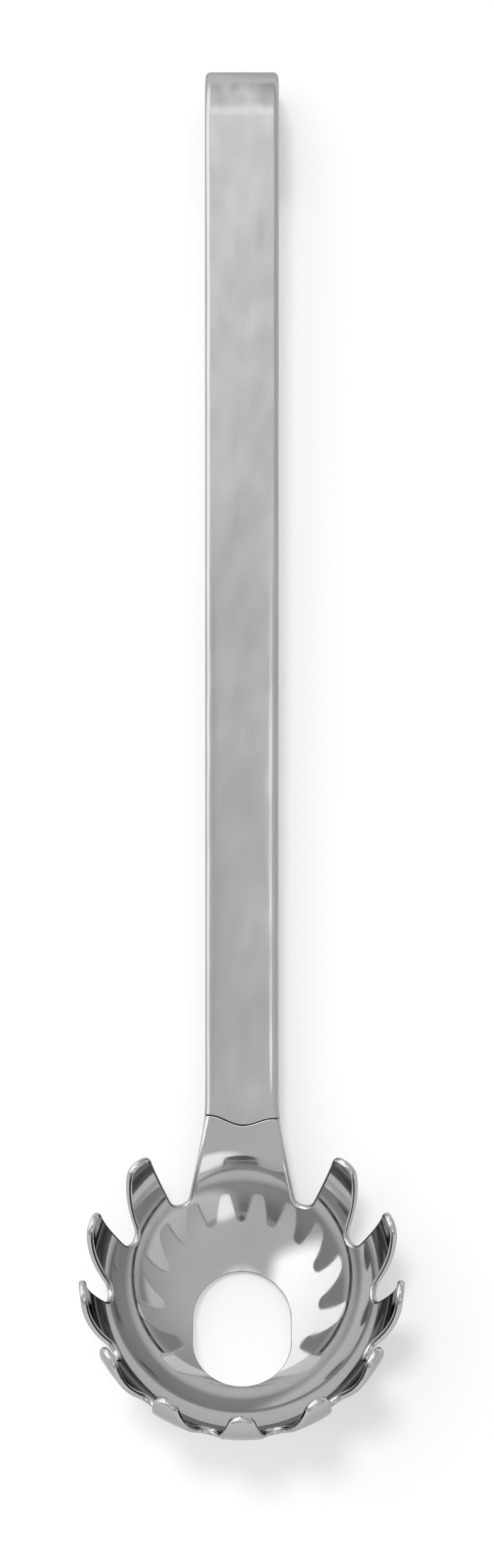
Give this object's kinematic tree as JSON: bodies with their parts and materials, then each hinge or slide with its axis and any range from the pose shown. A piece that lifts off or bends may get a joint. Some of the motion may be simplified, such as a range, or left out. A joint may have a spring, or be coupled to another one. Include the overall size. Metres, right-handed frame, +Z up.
{
  "type": "pasta server",
  "caption": "Stainless steel pasta server: a round bowl with upright tines and a drain hole, on a long flat handle that ends in a hanging hook. Lifts and drains spaghetti.",
  "frame": {"origin": "middle of the bottom of the part as it lies on a table, bowl open upwards", "axes": "+Y along the handle from the bowl to the hook, +Z up off the table, +X to the right of the handle seen from above"},
  "size_m": [0.0778, 0.33, 0.0621],
  "materials": {
    "mirror_steel": "mirror-polished stainless steel",
    "satin_steel": "satin, softly brushed stainless steel"
  },
  "bodies": {
    "root": {"bowl_head": "mirror_steel", "neck_weld": "mirror_steel", "handle_front_shell": "satin_steel", "handle_back_shell": "satin_steel", "left_edge_weld": "satin_steel", "right_edge_weld": "satin_steel", "hook_end_plug": "satin_steel"}
  },
  "joints": []
}
